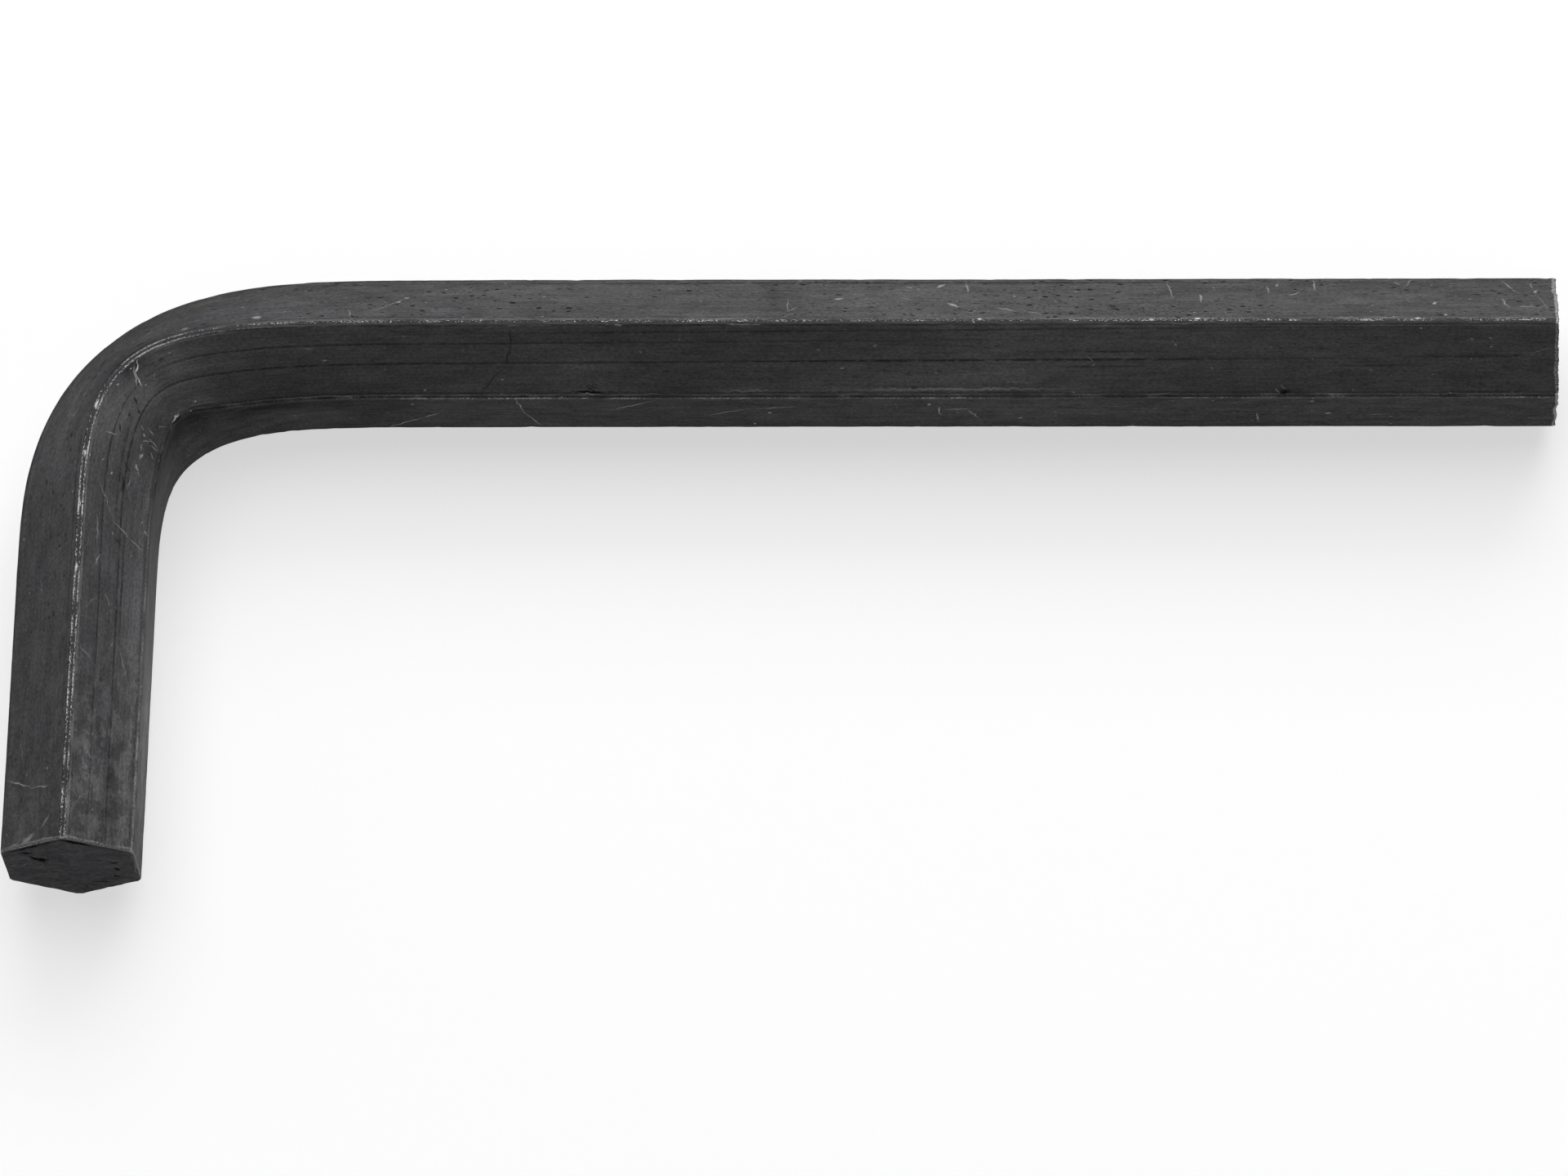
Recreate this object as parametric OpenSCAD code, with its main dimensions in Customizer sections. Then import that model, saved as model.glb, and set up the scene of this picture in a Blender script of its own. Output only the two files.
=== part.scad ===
// Hex key: one length of hexagon bar, cut at both ends and bent cold to a right angle.
// It lies on its side, on the ridge that runs along its underside.
// X runs along the long arm, the short arm points to -Y, and Z is up.
// The origin is the middle of its outline, at the height of the surface that it lies on.

/* [Bar] */
// Size of the key, measured across two flats of the bar
across_flats = 10; // [8:0.5:14]
// Width of the narrow flat that drawing leaves along each corner of the bar
corner_flat = 0.36; // [0.1:0.02:1]

/* [Arms] */
// Length of the long arm, from its cut end to the outside of the short arm
long_arm = 116.4; // [90:0.2:220]
// Length of the short arm, from its cut end to the outside of the long arm
short_arm = 47.2; // [36:0.2:80]

/* [Bend] */
// Smallest radius of the bend, measured along the middle of the bar
bend_radius = 11; // [9:0.5:16]
// Length of bar over which the long arm eases into the bend
ease_long = 26; // [14:1:34]
// Length of bar over which the bend eases into the short arm
ease_short = 13; // [6:1:17]

/* [Squeeze of the bar in the bend] */
// How far the side ridges move outwards at the middle of the bend, as the outer half thins
ridge_shift = 1.4; // [0:0.1:2]
// How far the inner flat moves outwards at the middle of the bend
inner_shift = 0.6; // [0:0.1:1.2]
// How far each edge of the inner flat spreads sideways at the middle of the bend
inner_spread = 1.5; // [0:0.1:2]
// How far each edge of the outer flat draws in at the middle of the bend
outer_pinch = 0.43; // [0:0.01:1]

/* [Fineness] */
// Number of slices along the bend
slices = 96; // [24:4:160]

/* [Hidden] */

// The bar, in its own section: first outwards from the bend, then up
half_flats = across_flats / 2;
corner_reach = half_flats / cos(30);
cut_reach = corner_reach - corner_flat / 2 / tan(60);
corner_angles = [90, 30, -30, -90, -150, 150];

// The eased bend: its curvature grows as the cube of the way in, holds, and fades evenly
turn = 90;
ease_power = 3;
radian = 180 / PI;
share_long = 1 / (ease_power + 1);
share_short = 1 / 2;
eased = ease_long * share_long + ease_short * share_short;
hold = max(0, bend_radius * turn / radian - eased);
turn_rate = turn / (eased + hold);
bend_length = ease_long + hold + ease_short;
step = bend_length / slices;

// How sharply each change of the section peaks at the middle of the bend
ridge_sharpness = 1.3;
inner_sharpness = 2.4;

// Heading of the bar at a distance along the bend, from 0 on the long arm to 90 on the short
function heading(s) =
    s < ease_long ? turn_rate * ease_long * share_long * pow(s / ease_long, ease_power + 1)
    : s < ease_long + hold ? turn_rate * (ease_long * share_long + s - ease_long)
    : turn - turn_rate * share_short * pow(bend_length - s, 2) / ease_short;

// Middle line of the bend, as one point for each slice, from the long arm's end of it
middle_line = [
    for (i = 0, p = [0, 0]; i <= slices;
         p = p - step * [cos(heading((i + 0.5) * step)), sin(heading((i + 0.5) * step))],
         i = i + 1) p
];

// The middle lines of the two arms cross at this point of the plan
bend_reach = -middle_line[slices][0];
bend_drop = -middle_line[slices][1];
long_straight = long_arm - half_flats - bend_reach;
short_straight = short_arm - half_flats - bend_drop;
crossing = [half_flats - long_arm / 2, short_arm / 2 - half_flats];

// Shift of one corner of the section where the squeeze has grown to q, from 0 to 1
function corner_shift(angle, q) =
    abs(angle) == 90 ? [ridge_shift * pow(q, ridge_sharpness), 0]
    : abs(angle) == 30 ? [0, -sign(angle) * outer_pinch * pow(q, ridge_sharpness)]
    : [inner_shift, sign(angle) * inner_spread] * pow(q, inner_sharpness);

// Section of the bar: two points at each corner, the ends of its narrow flat
function section(q = 0) = [
    for (angle = corner_angles, side = [1, -1])
        cut_reach * [cos(angle), sin(angle)]
        - side * corner_flat / 2 * [sin(angle), -cos(angle)] + corner_shift(angle, q)
];

// One slice of the bend, set square to the middle line
function slice(i) =
    let (h = i == slices ? turn : heading(i * step), q = max(0, sin(h * 180 / turn)))
    [for (p = section(q))
        concat(middle_line[i] + [bend_reach, 0] + p[0] * [-sin(h), cos(h)], p[1])];

// Bar of the plain section along X, from the plan's crossing point outwards
module bar(start, length) {
    translate([start, 0, 0])
        rotate([90, 0, 90])
            linear_extrude(height = length)
                polygon(section());
}

module bend() {
    sides = len(section());
    walls = [for (i = [0 : slices - 1], k = [0 : sides - 1])
        let (a = i * sides + k, b = i * sides + (k + 1) % sides)
        [a, a + sides, b + sides, b]];
    first_cap = [for (k = [0 : sides - 1]) k];
    last_cap = [for (k = [sides - 1 : -1 : 0]) slices * sides + k];
    polyhedron(
        points = [for (i = [0 : slices]) each slice(i)],
        faces = concat(walls, [first_cap], [last_cap]));
}

module hex_key() {
    color([0.22, 0.22, 0.23])
        translate([crossing[0], crossing[1], cut_reach]) {
            bar(bend_reach, long_straight);
            bend();
            mirror([1, 1, 0]) bar(bend_drop, short_straight);
        }
}

hex_key();
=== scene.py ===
import math

import bpy
import numpy as np
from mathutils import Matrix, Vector

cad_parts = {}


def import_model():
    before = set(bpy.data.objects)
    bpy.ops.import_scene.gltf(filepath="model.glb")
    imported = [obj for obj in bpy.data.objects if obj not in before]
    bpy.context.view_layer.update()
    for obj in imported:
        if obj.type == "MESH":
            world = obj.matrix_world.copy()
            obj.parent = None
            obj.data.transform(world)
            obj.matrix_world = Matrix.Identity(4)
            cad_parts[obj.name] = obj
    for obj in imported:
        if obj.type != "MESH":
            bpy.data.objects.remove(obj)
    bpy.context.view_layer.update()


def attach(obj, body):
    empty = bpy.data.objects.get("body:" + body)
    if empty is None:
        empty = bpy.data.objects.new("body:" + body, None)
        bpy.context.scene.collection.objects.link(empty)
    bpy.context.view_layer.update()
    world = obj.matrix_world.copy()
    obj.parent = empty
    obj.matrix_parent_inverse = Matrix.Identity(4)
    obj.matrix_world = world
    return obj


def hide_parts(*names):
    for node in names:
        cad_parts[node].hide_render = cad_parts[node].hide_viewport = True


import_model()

# All lengths below are in millimetres, unless a name says otherwise
MM = 0.001

# The key's driving sizes
ACROSS_FLATS = 10.0
CORNER_FLAT = 0.36
LONG_ARM = 116.4
SHORT_ARM = 47.2
BEND_RADIUS = 11.0

# How the bend eases in from the long arm and out into the short one
EASE_LONG = 26.0
EASE_SHORT = 13.0
EASE_POWER = 3

# How the bend deforms the section: how far its corners move, and how sharply that grows with the bend
RIDGE_SHIFT = 1.4
INNER_SHIFT = 0.6
INNER_SPREAD = 1.5
OUTER_PINCH = 0.43
RIDGE_SHARPNESS = 1.3
INNER_SHARPNESS = 2.4

# Sizes that follow from them
HALF_FLATS = ACROSS_FLATS / 2
CUT_REACH = HALF_FLATS / math.cos(math.radians(30)) - CORNER_FLAT / 2 / math.tan(math.radians(60))
FACET = ACROSS_FLATS / math.sqrt(3) - CORNER_FLAT / math.cos(math.radians(30))
PITCH = CORNER_FLAT + FACET
GIRTH = 6 * PITCH
CORNERS = (90, 30, -30, -90, -150, 150)

# The twelve sides of the bar, in turn from the upper ridge outwards and round: even ones are the narrow
# flats on its corners, odd ones its facets
SIDES = 12
UPPER_RIDGE = 0
OUTER_FRONT = 1
OUTER_FLAT = 3
OUTER_BACK = 5
INNER_BACK = 7
INNER_FLAT = 9
FRONT_RIDGE = 10
MIDDLE = 11
SIDE_WIDTH = [FACET if side % 2 else CORNER_FLAT for side in range(SIDES)]
SIDE_START = [side // 2 * PITCH + side % 2 * CORNER_FLAT for side in range(SIDES)]

# Facets whose upper edge comes first in the round, and the name that stands for a cut end
DOWNWARD_FACES = (OUTER_FRONT, OUTER_FLAT, OUTER_BACK)
END_FACE = -1

# Fineness of the mesh: spacing along the bar at its cut ends and in between, columns on each side, and
# knots of the bend's line and of the shares
END_STEP = 0.05
END_GROWTH = 1.13
PLAIN_STEP = 0.4
COLUMNS = {OUTER_FRONT: 40, MIDDLE: 84, INNER_FLAT: 28, UPPER_RIDGE: 8, FRONT_RIDGE: 6}
FACET_COLUMNS = 15
CORNER_COLUMNS = 4
BEND_KNOTS = 1201
SHARE_KNOTS = 2001

# Columns stand closer together at the edges of a facet: how much denser, and over what share of it
EDGE_DENSITY = 2
EDGE_SHARE = 0.04

# Waves of the facets: depth, length along and round the bar, and seed
FACE_WAVES = [(0.010, 16, 1.9, 21), (0.004, 5, 0.5, 22), (0.0025, 0.8, 0.3, 23)]

# Wear along the corners: its reach to each side, its nicks, and its waves as depth and the rest as above
RIDGE_REACH = 0.28
NICK_DEPTH = 0.05
NICK_RANGE = (0.45, 0.95)
NICK_GRAIN = (0.9, 0.5, 11)
RIDGE_WAVES = [(0.018, 3.2, 3, 12), (0.012, 0.6, 0.12, 13)]

# Grooves that drawing left along the facets. Each has its distance from the facet's upper edge at the
# long arm's cut end, its drift for each millimetre of bar, where it starts and stops, its half width,
# its depth and how dark it is.
GROOVES = {
    MIDDLE: [
        (0.14, 0.0, 0, 200, 0.07, 0.02, 0.35), (0.22, 0.006, 14, 100, 0.05, 0.008, 0.45),
        (1.07, 0.005, 40, 200, 0.05, 0.014, 0.5), (2.1, 0.002, 29, 40, 0.06, 0.01, 0.5),
        (2.55, 0.002, 2, 14, 0.06, 0.01, 0.45), (2.6, 0.0046, 36, 200, 0.055, 0.014, 0.6),
        (2.62, 0.004, 16, 62, 0.06, 0.01, 0.75), (3.2, 0.002, 9, 18, 0.05, 0.008, 0.4),
        (3.22, 0.002, 30, 39, 0.05, 0.008, 0.45), (2.16, 0.0046, 110, 122, 0.05, 0.01, 0.5),
        (2.95, 0.0046, 122, 131, 0.05, 0.01, 0.6),
    ],
    OUTER_FRONT: [(0.42, 0.000, 50, 147, 0.06, 0.010, 0.35), (4.93, 0.000, 8, 96, 0.09, 0.020, 0.55)],
    INNER_FLAT: [(1.95, 0.004, 20, 90, 0.15, 0.010, 0.20), (3.6, 0.002, 4, 60, 0.15, 0.010, 0.20)],
    OUTER_FLAT: [(1.4, 0.003, 0, 200, 0.07, 0.014, 0.6), (4.1, 0.002, 20, 110, 0.06, 0.014, 0.5)],
    OUTER_BACK: [(0.6, 0.004, 10, 200, 0.07, 0.014, 0.6), (3.1, 0.003, 0, 90, 0.07, 0.014, 0.6)],
    INNER_BACK: [(1.2, 0.004, 0, 130, 0.07, 0.014, 0.6), (3.3, 0.005, 30, 200, 0.06, 0.014, 0.7)],
}

# How the grooves break up along their run: share of the depth left on average, its change, the least
# share, length of the stretches, lane, width and seed of the noise that gives them, and fade at both ends
GROOVE_SHARE = 0.65
GROOVE_CHANGE = 0.45
LEAST_GROOVE_SHARE = 0.15
GROOVE_STRETCH = 2.5
GROOVE_LANE = 1.7
GROOVE_GRAIN_WIDTH = 2
GROOVE_SEED = 40
GROOVE_FADE = 2

# Rims of the cut ends: how far along the bar they pull the walls back, how far each stands back at least,
# with its waves as depth, length round the rim and seed, and the row of the noise that gives them
RIM_REACH = 2.2
LONG_RIM = (0.0, [(0.16, 0.8, 31), (0.10, 0.22, 32)])
SHORT_RIM = (0.02, [(0.06, 0.9, 33), (0.03, 0.2, 34)])
RIM_ROW = 1.3
RIM_ROW_LENGTH = 4

# The edge at each cut end: how far it is rolled in, and over what length
EDGE_ROLL = 0.05
EDGE_ROLL_LENGTH = 0.08

# Rings that close a cut end: how many, the share of the way out of the first one, how the others draw
# together, how deep the face lies in its rim, and over what shares it goes flat and sinks
END_RINGS = 9
FIRST_RING = 0.985
RING_POWER = 1.6
END_SINK = 0.06
FLAT_SHARE = 0.06
SINK_SHARE = 0.05

# Shift of the long arm's cut end in the material's own plan, so that the other end's marks stay off it
LONG_END_SHIFT = 40

# Colours of the steel: its oxide where it is cooler and warmer, worn bare, dirty and painted in shade (one
# colour serves both), and cut
OXIDE_COOL = (0.0645, 0.0650, 0.0675, 1)
OXIDE_WARM = (0.0665, 0.0660, 0.0652, 1)
BARE = (0.30, 0.295, 0.29, 1)
DIRT_AND_SHADE = (0.010, 0.010, 0.011, 1)
CUT_OXIDE = (0.062, 0.0625, 0.065)
STEEL_TINT = (0.35, 0.35, 0.35, 1)
CUT_TINT = (0.38, 0.38, 0.38, 1)
CUT_ROUGHNESS = 0.5
WORN_ROUGHNESS = 0.38

# Scratches and bright spots of each facet: start and stop, as distance along the bar from the long arm's
# cut end and distance from the facet's upper edge, half width and strength
SCRATCHES = {
    OUTER_FRONT: [
        (58.5, 2.8, 58.4, 1.2, 0.07, 0.35), (58.4, 1.1, 57.7, 1.6, 0.08, 0.35),
        (54.9, 2.7, 54.3, 2.8, 0.1, 0.9), (47.0, 4.3, 46.6, 4.7, 0.12, 0.9),
        (49.4, 4.3, 49.0, 4.2, 0.09, 0.7), (49.7, 2.9, 49.0, 2.7, 0.06, 0.4),
        (44.9, 4.7, 44.7, 3.7, 0.12, 0.5), (46.2, 2.2, 45.5, 1.7, 0.1, 0.9),
        (42.5, 1.6, 41.3, 1.2, 0.08, 0.8), (40.3, 1.1, 39.0, 0.7, 0.05, 0.4),
        (29.6, 4.9, 29.1, 2.7, 0.07, 0.45), (27.1, 3.3, 27.0, 2.3, 0.09, 0.6),
        (22.0, 4.4, 21.9, 3.5, 0.1, 0.45), (21.3, 4.4, 21.2, 4.5, 0.14, 0.6),
        (20.3, 3.2, 19.6, 3.5, 0.07, 0.7), (18.5, 5.1, 18.4, 3.9, 0.09, 0.6),
        (12.4, 4.8, 12.0, 4.6, 0.08, 0.6), (11.6, 4.2, 10.9, 5.3, 0.07, 0.3),
        (9.4, 2.0, 9.3, 2.1, 0.12, 0.9), (8.6, 0.5, 8.5, 0.5, 0.1, 0.8), (4.3, 5.1, 3.0, 3.3, 0.06, 0.5),
        (4.3, 2.6, 3.8, 1.5, 0.1, 0.5), (3.0, 1.6, 1.8, 1.5, 0.06, 0.5), (0.1, 0.2, 0.1, 5.4, 0.1, 0.9),
        (2.1, 4.6, 1.9, 4.0, 0.07, 0.5), (1.7, 3.5, 1.6, 3.6, 0.15, 0.6), (1.5, 2.9, 0.8, 1.4, 0.05, 0.3),
        (98.8, 1.0, 98.5, 0.9, 0.2, 0.9), (104.0, 0.8, 103.7, 0.9, 0.22, 0.55),
        (91.8, 1.5, 91.6, 0.4, 0.05, 0.5), (90.3, 1.0, 87.5, 3.0, 0.06, 0.25),
        (105.6, 2.9, 106.2, 2.4, 0.05, 0.3), (107.4, 2.2, 108.0, 2.6, 0.05, 0.3),
        (110.7, 1.6, 111.1, 1.9, 0.07, 0.3), (88.2, 2.4, 88.0, 2.5, 0.12, 0.8),
        (87.6, 3.0, 87.5, 3.0, 0.1, 0.7), (141.6, 5.3, 142.6, 2.9, 0.05, 0.8),
        (142.6, 2.9, 142.8, 1.1, 0.05, 0.8), (138.6, 4.2, 140.6, 3.8, 0.05, 0.3),
        (141.3, 1.6, 141.4, 1.6, 0.07, 0.8), (145.2, 1.1, 146.0, 1.7, 0.1, 0.6),
        (146.5, 2.6, 147.1, 3.4, 0.22, 0.7), (146.9, 4.0, 147.2, 4.8, 0.14, 0.6),
        (43.9, 0.1, 43.7, 0.12, 0.11, 0.9), (30.9, 0.0, 30.7, 0.0, 0.1, 0.8),
        (27.4, 0.1, 27.2, 0.12, 0.11, 0.8), (10.8, 0.08, 10.6, 0.08, 0.09, 0.7),
        (112.3, -0.18, 111.9, -0.16, 0.13, 0.9), (116.2, -0.2, 115.8, -0.15, 0.1, 0.8),
        (120.3, -0.15, 119.8, -0.1, 0.09, 0.7), (125.6, -0.1, 125.1, -0.12, 0.11, 0.8),
    ],
    INNER_FLAT: [
        (0.1, 0.3, 0.1, 5.2, 0.09, 0.9), (89.4, 5.3, 86.2, 3.4, 0.06, 0.85),
        (86.2, 3.4, 85.2, 2.7, 0.06, 1.04), (79.1, 0.3, 78.5, 2.8, 0.06, 0.76),
        (78.5, 2.8, 77.5, 4.9, 0.06, 0.76), (72.0, 2.2, 68.6, 0.5, 0.06, 0.76),
        (64.8, 3.2, 61.5, 2.0, 0.06, 0.76), (61.5, 2.0, 57.5, 1.6, 0.06, 0.57),
        (59.9, 2.7, 59.8, 2.7, 0.12, 1.2), (61.1, 4.7, 61.0, 4.7, 0.1, 1.2),
        (47.7, 1.2, 47.6, 1.2, 0.12, 1.2), (46.9, 1.7, 46.9, 3.1, 0.06, 0.95),
        (46.3, 2.1, 44.9, 2.0, 0.06, 0.66), (44.9, 2.0, 43.8, 3.9, 0.06, 0.66),
        (40.9, 3.8, 40.7, 3.7, 0.1, 0.95), (18.7, 0.7, 18.6, 0.7, 0.1, 1.2),
        (17.5, 2.9, 17.2, 2.9, 0.12, 1.2), (14.2, 3.2, 12.8, 3.0, 0.06, 0.47),
        (22.8, 2.8, 22.7, 4.4, 0.06, 0.66), (87.1, 1.1, 87.0, 1.1, 0.09, 1.2),
    ],
    MIDDLE: [
        (72.3, -0.16, 71.0, 0.04, 0.11, 0.9), (63.4, -0.1, 62.4, -0.05, 0.09, 0.7),
        (61.1, -0.08, 60.5, 0.04, 0.09, 0.7), (54.8, 5.05, 36.0, 4.95, 0.1, 0.42),
        (63.7, 5.12, 58.7, 5.08, 0.07, 0.3), (74.2, 5.3, 72.6, 5.36, 0.07, 0.8),
        (54.3, 3.4, 54.2, 3.4, 0.06, 0.9), (51.8, 1.7, 51.7, 1.8, 0.08, 0.5),
        (86.0, 5.0, 85.9, 5.0, 0.07, 0.8), (93.8, 2.7, 93.5, 2.7, 0.07, 0.6),
        (95.1, 1.7, 94.6, 1.8, 0.05, 0.5), (29.0, 1.6, 28.9, 1.7, 0.07, 0.9),
        (21.0, 4.7, 20.7, 5.0, 0.05, 0.6), (21.4, 5.0, 21.1, 5.3, 0.05, 0.6),
        (15.6, 4.9, 15.5, 5.2, 0.04, 0.5), (10.5, 0.4, 10.4, 0.4, 0.07, 0.9),
        (35.6, 2.6, 35.2, 2.9, 0.04, 0.35), (41.0, 3.6, 40.2, 3.4, 0.04, 0.25),
        (2.4, 2.5, 0.6, 1.8, 0.04, 0.3), (107.8, 0.2, 108.6, 1.0, 0.05, 0.8),
        (108.6, 1.0, 108.9, 1.9, 0.05, 0.7), (108.3, 0.4, 109.2, 1.7, 0.04, 0.5),
        (108.3, 5.28, 109.3, 5.35, 0.12, 0.9), (110.4, 5.0, 110.9, 4.7, 0.07, 0.5),
        (111.6, 4.1, 111.9, 4.5, 0.06, 0.7), (111.7, 3.4, 112.0, 3.7, 0.05, 0.6),
        (112.3, 3.8, 112.4, 3.9, 0.08, 0.8), (112.9, 3.9, 112.6, 4.4, 0.06, 0.8),
        (112.4, 4.3, 112.9, 5.2, 0.05, 0.9), (113.0, 4.6, 113.1, 5.1, 0.07, 0.9),
        (113.6, 4.7, 114.2, 5.0, 0.06, 0.9), (113.2, 3.9, 113.8, 3.9, 0.05, 0.5),
        (114.2, 4.1, 114.6, 4.0, 0.12, 0.9), (115.4, 3.8, 115.7, 3.9, 0.1, 0.8),
        (115.9, 4.0, 116.3, 4.1, 0.05, 0.5), (114.0, 5.5, 113.9, 5.5, 0.08, 0.8),
        (106.7, 5.5, 106.5, 5.5, 0.07, 0.7), (121.5, 5.3, 121.2, 5.1, 0.07, 0.8),
        (120.5, 4.9, 120.4, 4.9, 0.08, 0.8), (116.8, 2.1, 116.9, 2.1, 0.07, 0.9),
        (116.9, 3.6, 117.8, 3.4, 0.08, 0.4), (113.7, 1.2, 113.5, 1.8, 0.07, 0.4),
        (117.6, 1.1, 121.0, 2.6, 0.04, 0.35), (121.0, 2.6, 122.1, 3.9, 0.05, 0.7),
        (122.1, 3.9, 122.9, 5.0, 0.05, 0.6), (120.9, 1.2, 122.8, 1.3, 0.09, 0.35),
        (123.9, 1.7, 124.9, 1.2, 0.07, 0.45), (126.9, 2.2, 128.6, 2.8, 0.05, 0.35),
        (128.3, 0.8, 127.2, 1.7, 0.05, 0.25), (131.6, 0.4, 132.5, 1.3, 0.05, 0.45),
        (131.1, 3.5, 133.7, 4.4, 0.06, 0.3), (139.6, 1.1, 140.8, 2.1, 0.04, 0.4),
    ],
}

# Dark marks: pits, smudges and rubbed-in dirt, given in the same way
DARK_MARKS = {
    OUTER_FRONT: [
        (33.9, 1.8, 33.6, 1.6, 0.3, 0.5),
    ],
    MIDDLE: [
        (110.0, 2.0, 110.4, 2.5, 0.1, 0.7), (110.6, 2.6, 110.9, 3.0, 0.1, 0.6),
        (111.4, 2.3, 111.5, 2.4, 0.14, 0.6), (112.6, 1.9, 113.1, 2.1, 0.1, 0.7),
        (106.6, 1.0, 106.2, 1.0, 0.12, 0.5), (115.7, 3.0, 116.0, 3.3, 0.12, 0.6),
        (116.9, 3.0, 118.3, 3.1, 0.22, 0.6), (122.4, 2.8, 122.8, 3.3, 0.14, 0.5),
        (133.9, 2.3, 134.1, 2.3, 0.2, 0.4), (128.0, 2.6, 128.2, 2.6, 0.16, 0.4),
        (20.9, 5.25, 20.6, 5.25, 0.26, 1.0), (79.4, 0.3, 79.4, 1.8, 0.06, 0.7),
        (79.4, 1.8, 79.9, 3.2, 0.06, 0.7), (79.9, 3.2, 81.8, 5.4, 0.05, 0.6),
        (3.6, 2.5, 3.0, 2.5, 0.06, 0.6), (73.5, 4.6, 72.9, 4.9, 0.05, 0.6),
        (74.7, 5.1, 72.2, 5.25, 0.13, 0.9), (73.6, 4.7, 72.9, 5.2, 0.06, 0.8),
    ],
}

# Stretches of the bar where the front ridge is worn bright
FRONT_WORN = [(-2, 4.8), (23.4, 28.4), (42.6, 52), (58, 88), (119.5, 160)]

# Lighter and darker stains of each facet, and some patches of painted light and shade: middle, reach along
# and across, and change of tone
STAINS_AND_PAINTED_LIGHT = {
    MIDDLE: [
        (43.5, 4.1, 12, 2.4, 0.36), (43, 1.0, 7, 1.3, 0.2), (30, 1.6, 16, 2.6, 0.22),
        (74, 3.4, 6, 2.2, 0.16), (66, 3.8, 9, 2.8, -0.12), (97, 4.2, 9, 4.0, -0.2),
        # In the bend, the patches at 105 and 108.4 along are painted shade that dims a highlight of the
        # light from above
        (105, 3.6, 7, 5.0, -0.18), (108.8, 0.2, 3.6, 2.0, -0.4), (107.2, 2.4, 3.4, 6.5, -0.24),
        (108.4, 4.6, 4.2, 2.2, -0.34), (114, 2.8, 9, 5.0, -0.14), (127, 1.9, 10, 3.0, -0.12),
        (132, 3.2, 9, 5.0, -0.14), (141, 1.1, 6.5, 1.3, 0.31), (142, 1.9, 5, 1.2, 0.14),
        # The patch at 117.5 along is painted shade
        (117.5, 4.3, 4, 1.6, -0.1), (123.5, 4.6, 7, 2.0, -0.24), (137, 4.4, 8, 2.5, -0.36),
        (142, 3.3, 4, 0.8, -0.35), (142, 4.6, 5, 0.9, 0.22),
    ],
    OUTER_FRONT: [
        (50, 2.0, 12, 4.0, 0.1), (50, 0.7, 4, 1.2, 0.12), (58.5, 1.6, 3.5, 3.0, -0.18),
        (91, 2.4, 6, 3.5, -0.12), (106, 3.0, 3, 2.5, 0.16), (52.8, 3.3, 1.2, 2.2, 0.1),
        # The patches at 104 and 111 along are painted light that brightens the outer front in the bend
        (104, 2.0, 8, 4.0, 0.24), (111, 3.0, 6, 4.0, 0.22), (146, 3.4, 4.5, 2.0, 0.34),
    ],
    INNER_FLAT: [
        (44, 2.5, 14, 3.0, 0.14), (90, 2.0, 5, 3.0, -0.18), (99, 0.6, 10, 1.6, -0.3),
        # The patches at 114 and 135 along are painted light: they make the short arm's inner flat paler, as
        # light falling on it from the side does
        (109, 1.6, 6, 3.0, -0.18), (114, 2.7, 9, 6.0, 0.5), (135, 2.7, 20, 6.0, 2.0),
    ],
}

# Marks on the short arm's cut end: start and stop as outward distance and height in the bar's section,
# half width and strength
END_PITS_AND_SHADE = [
    # The first two marks are painted shade: dark bands just under the rim at the upper corner, where a
    # notch and the rounded rim lie in shade; the rest are pits
    (0.1, 5.1, -2.0, 4.05, 0.28, 1.0), (0.4, 5.05, 4.5, 2.6, 0.22, 0.8), (3.5, 2.45, 2.6, 2.5, 0.2, 1.0),
    (2.8, 1.8, 1.95, 0.75, 0.28, 0.9), (2.5, 1.3, 1.6, 1.2, 0.22, 0.9), (-2.9, 0.55, -3.5, 0.5, 0.12, 0.9),
    (-3.3, -0.6, -3.4, -0.8, 0.18, 0.9), (-3.1, -2.1, -3.3, -2.2, 0.18, 0.9),
    (-1.2, -3.3, -2.7, -3.3, 0.1, 0.8), (-0.6, -4.3, -0.7, -4.4, 0.14, 0.8),
]
END_SCRATCHES = [
    (4.7, 0.1, 4.1, -0.4, 0.06, 0.5), (4.1, -0.4, 2.9, 0.5, 0.06, 0.5), (-0.1, 5.5, -2.0, 4.5, 0.08, 0.5),
    (-1.9, 4.5, -4.7, 2.9, 0.07, 0.6), (-4.8, 2.6, -4.8, -2.4, 0.08, 0.5),
    (0.8, -0.9, 2.0, -1.1, 0.04, 0.2), (-0.4, 2.4, 1.2, 2.1, 0.04, 0.2),
]

# Stage, camera and light, in metres; the camera's turn is in radians, its lens and sensor in millimetres
FLOOR_REACH = 6.0
FLOOR_COLOUR = (0.85, 0.85, 0.85, 1)
FLOOR_GLOW = 0.6
CAMERA_PLACE = (0.02913, -0.25049, 0.58450)
CAMERA_TURN = (0.40745, 0.04291, 0.01828)
CAMERA_LENS = 191.93
CAMERA_SENSOR = 36
CAMERA_CLIP = (0.05, 20)

# The surroundings are pale at the horizon and dimmer from this height of the sky on
SKY_LOW = 1.30
SKY_HIGH = 0.10
SKY_HEIGHT = 0.30

# Softboxes: name, azimuth from +Y towards +X and elevation in degrees, distance, size, and radiance
SOFTBOXES = [
    ("back_softbox", 5, 33, 1.5, (1.4, 0.6), 6.3),
    ("top_softbox", 0, 66, 1.6, (2.0, 1.4), 2.55),
    ("right_softbox", 55, 34, 1.5, (0.9, 0.6), 0.4),
    ("left_softbox", -50, 22, 1.5, (0.9, 0.6), 1.2),
    ("front_softbox", 180, 60, 1.8, (1.6, 0.8), 0.5),
]


def place_in_scene(name, data):
    made = bpy.data.objects.new(name, data)
    bpy.context.scene.collection.objects.link(made)
    return made


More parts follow.
